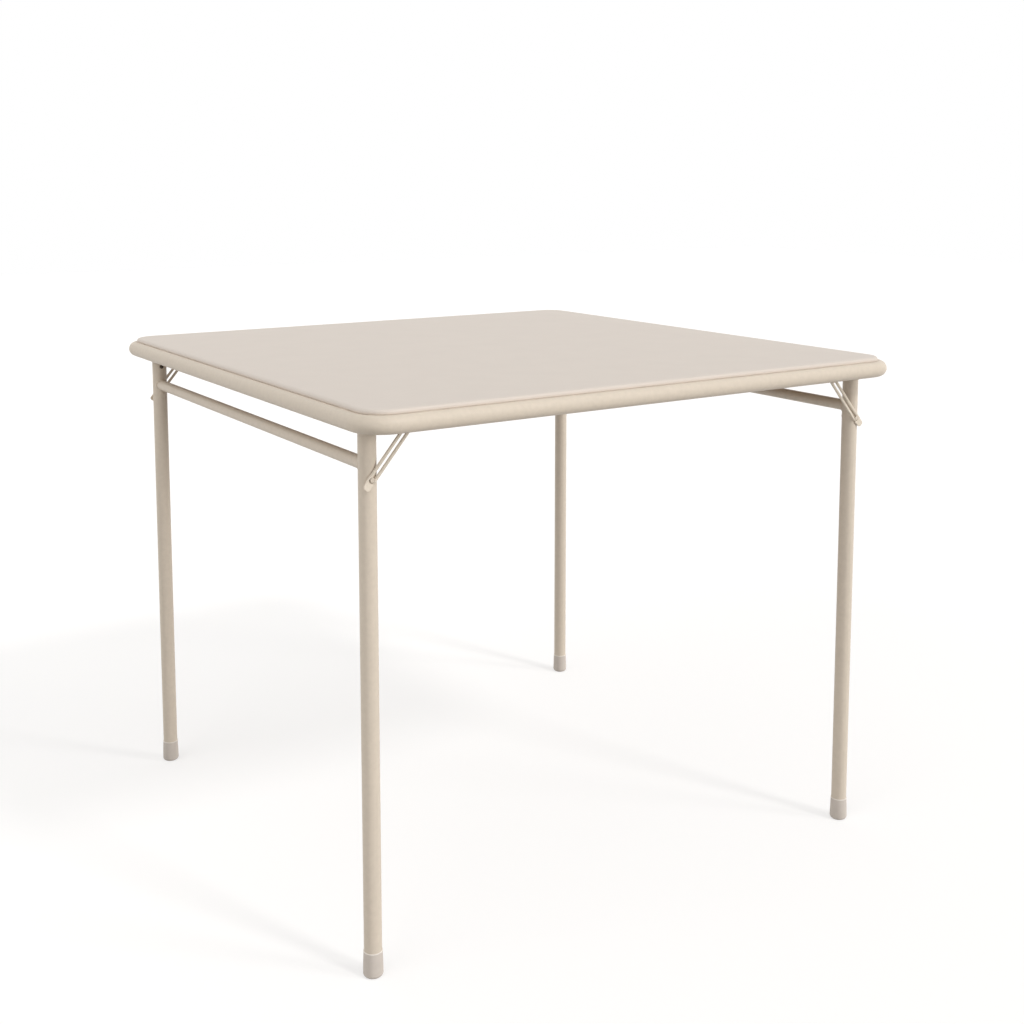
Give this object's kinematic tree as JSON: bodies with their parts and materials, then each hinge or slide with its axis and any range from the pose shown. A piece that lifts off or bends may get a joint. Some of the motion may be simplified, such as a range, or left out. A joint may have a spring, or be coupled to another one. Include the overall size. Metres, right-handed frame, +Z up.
{
  "type": "folding card table",
  "caption": "Square folding card table with a padded vinyl top on a bent tube frame; crossbar-joined leg pairs fold in under it and lock open on slotted braces.",
  "frame": {"origin": "on the floor under the middle of the top", "axes": "+Z up, +X from the left leg pair to the right one, +Y from front to back"},
  "size_m": [0.868, 0.868, 0.7112],
  "materials": {
    "vinyl": "beige vinyl sheet with a fine embossed grain",
    "foam": "thin open-cell foam",
    "board": "brown hardboard",
    "powder_coat": "beige powder coat on steel, satin",
    "foot_plastic": "grey-beige moulded plastic",
    "zinc_steel": "zinc-plated steel, dull",
    "dark_steel": "dark plated steel rivet",
    "plain_steel": "uncoated steel tube"
  },
  "bodies": {
    "frame": {"vinyl_cover": "vinyl", "foam_pad": "foam", "top_board": "board", "frame_tube": "powder_coat", "frame_joiner": "plain_steel", "cross_channel_left": "powder_coat", "cross_channel_right": "powder_coat", "panel_clips": "powder_coat", "panel_screws": "zinc_steel", "leg_bracket_front_left": "powder_coat", "leg_bracket_back_left": "powder_coat", "leg_bracket_front_right": "powder_coat", "leg_bracket_back_right": "powder_coat", "leg_pivot_front_left": "zinc_steel", "leg_pivot_back_left": "zinc_steel", "leg_pivot_front_right": "zinc_steel", "leg_pivot_back_right": "zinc_steel", "brace_bracket_front_left": "powder_coat", "brace_bracket_back_left": "powder_coat", "brace_bracket_front_right": "powder_coat", "brace_bracket_back_right": "powder_coat", "brace_pivot_front_left": "zinc_steel", "brace_pivot_back_left": "zinc_steel", "brace_pivot_front_right": "zinc_steel", "brace_pivot_back_right": "zinc_steel"},
    "left_legs": {"crossbar_left": "powder_coat", "leg_front_left": "powder_coat", "leg_back_left": "powder_coat", "leg_sleeve_front_left": "plain_steel", "leg_sleeve_back_left": "plain_steel", "sleeve_rivet_front_left": "dark_steel", "sleeve_rivet_back_left": "dark_steel", "foot_cap_front_left": "foot_plastic", "foot_cap_back_left": "foot_plastic", "foot_washer_front_left": "zinc_steel", "foot_washer_back_left": "zinc_steel", "lock_rivet_front_left": "zinc_steel", "lock_rivet_back_left": "zinc_steel"},
    "right_legs": {"crossbar_right": "powder_coat", "leg_front_right": "powder_coat", "leg_back_right": "powder_coat", "leg_sleeve_front_right": "plain_steel", "leg_sleeve_back_right": "plain_steel", "sleeve_rivet_front_right": "dark_steel", "sleeve_rivet_back_right": "dark_steel", "foot_cap_front_right": "foot_plastic", "foot_cap_back_right": "foot_plastic", "foot_washer_front_right": "zinc_steel", "foot_washer_back_right": "zinc_steel", "lock_rivet_front_right": "zinc_steel", "lock_rivet_back_right": "zinc_steel"},
    "brace_front_left": {"brace_front_left": "powder_coat"},
    "lock_cap_front_left": {"lock_cap_front_left": "zinc_steel"},
    "brace_back_left": {"brace_back_left": "powder_coat"},
    "lock_cap_back_left": {"lock_cap_back_left": "zinc_steel"},
    "brace_front_right": {"brace_front_right": "powder_coat"},
    "lock_cap_front_right": {"lock_cap_front_right": "zinc_steel"},
    "brace_back_right": {"brace_back_right": "powder_coat"},
    "lock_cap_back_right": {"lock_cap_back_right": "zinc_steel"}
  },
  "joints": [
    {"name": "left_fold", "type": "hinge", "parent": "frame", "child": "left_legs", "pos_m": [-0.39, 0, 0.6832], "axis": [0, -1, 0], "range_deg": [0, 90]},
    {"name": "right_fold", "type": "hinge", "parent": "frame", "child": "right_legs", "pos_m": [0.39, 0, 0.6832], "axis": [0, 1, 0], "range_deg": [0, 90]},
    {"name": "brace_front_left_turn", "type": "hinge", "parent": "frame", "child": "brace_front_left", "pos_m": [-0.3363, -0.3658, 0.6832], "axis": [0, -1, 0], "range_deg": [0, 130]},
    {"name": "lock_cap_front_left_run", "type": "slide", "parent": "brace_front_left", "child": "lock_cap_front_left", "axis": [0.6428, 0, 0.766], "range_m": [0, 0.07325]},
    {"name": "brace_back_left_turn", "type": "hinge", "parent": "frame", "child": "brace_back_left", "pos_m": [-0.3363, 0.3928, 0.6832], "axis": [0, -1, 0], "range_deg": [0, 130]},
    {"name": "lock_cap_back_left_run", "type": "slide", "parent": "brace_back_left", "child": "lock_cap_back_left", "axis": [0.6428, 0, 0.766], "range_m": [0, 0.07325]},
    {"name": "brace_front_right_turn", "type": "hinge", "parent": "frame", "child": "brace_front_right", "pos_m": [0.3363, -0.3928, 0.6832], "axis": [0, 1, 0], "range_deg": [0, 130]},
    {"name": "lock_cap_front_right_run", "type": "slide", "parent": "brace_front_right", "child": "lock_cap_front_right", "axis": [-0.6428, 0, 0.766], "range_m": [0, 0.07325]},
    {"name": "brace_back_right_turn", "type": "hinge", "parent": "frame", "child": "brace_back_right", "pos_m": [0.3363, 0.3658, 0.6832], "axis": [0, 1, 0], "range_deg": [0, 130]},
    {"name": "lock_cap_back_right_run", "type": "slide", "parent": "brace_back_right", "child": "lock_cap_back_right", "axis": [-0.6428, 0, 0.766], "range_m": [0, 0.07325]}
  ],
  "couplings": [
    {"joint": "brace_front_left_turn", "follows": "left_fold", "ratio": 1.4444},
    {"joint": "lock_cap_front_left_run", "follows": "left_fold", "m_per_rad": 0.046631},
    {"joint": "brace_back_left_turn", "follows": "left_fold", "ratio": 1.4444},
    {"joint": "lock_cap_back_left_run", "follows": "left_fold", "m_per_rad": 0.046631},
    {"joint": "brace_front_right_turn", "follows": "right_fold", "ratio": 1.4444},
    {"joint": "lock_cap_front_right_run", "follows": "right_fold", "m_per_rad": 0.046631},
    {"joint": "brace_back_right_turn", "follows": "right_fold", "ratio": 1.4444},
    {"joint": "lock_cap_back_right_run", "follows": "right_fold", "m_per_rad": 0.046631}
  ]
}
